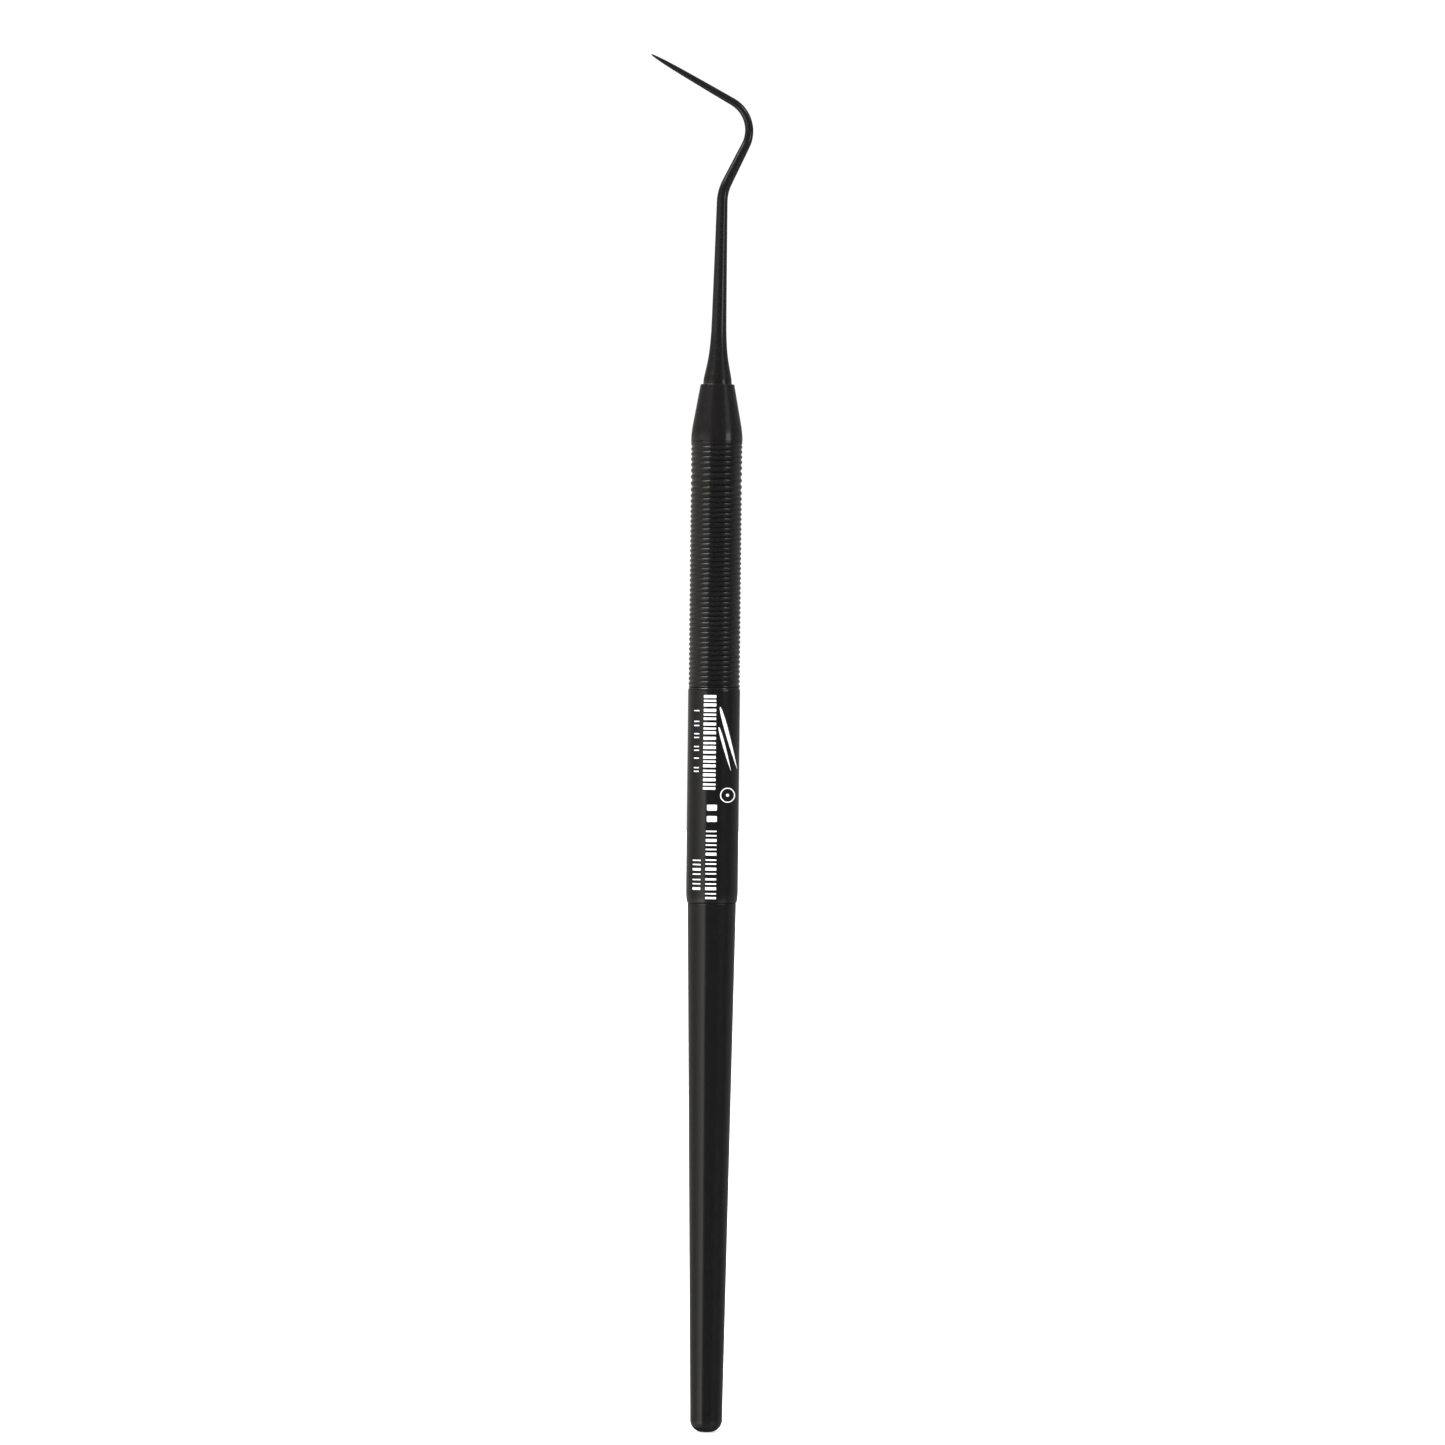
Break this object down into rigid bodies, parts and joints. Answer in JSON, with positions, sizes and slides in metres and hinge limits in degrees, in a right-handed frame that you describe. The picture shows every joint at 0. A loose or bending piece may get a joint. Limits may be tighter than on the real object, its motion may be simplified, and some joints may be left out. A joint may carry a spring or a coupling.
{
  "type": "dental explorer",
  "caption": "Single-ended dental explorer: slim hollow handle with a ribbed grip, nose cone, leaning shank and a hooked sharp point.",
  "frame": {"origin": "middle of the small flat on the rounded tail end of the handle, on the handle's axis", "axes": "+Z along the handle from the tail end towards the working end; the hook lies in the XZ plane and its point leans towards -X; -Y faces the viewer"},
  "size_m": [0.0124, 0.0062, 0.1652],
  "materials": {
    "black_tail": "satin black hard coating on stainless steel, fine lengthwise polishing lines",
    "black_sleeve": "satin black hard coating on stainless steel, the ribs a little brighter on their crests",
    "black_nose": "satin black hard coating on stainless steel, fine turning marks around the cone",
    "black_working_end": "smooth satin black hard coating on hardened stainless steel",
    "bare_steel": "uncoated turned stainless steel, hidden inside the handle",
    "white_mark": "flat white printed mark of plain bars and shapes on the smooth band"
  },
  "bodies": {
    "root": {"end_plug": "black_tail", "tail_tube": "black_tail", "joining_plug": "bare_steel", "grip_sleeve": "black_sleeve", "nose_cone": "black_nose", "working_end": "black_working_end"}
  },
  "joints": []
}
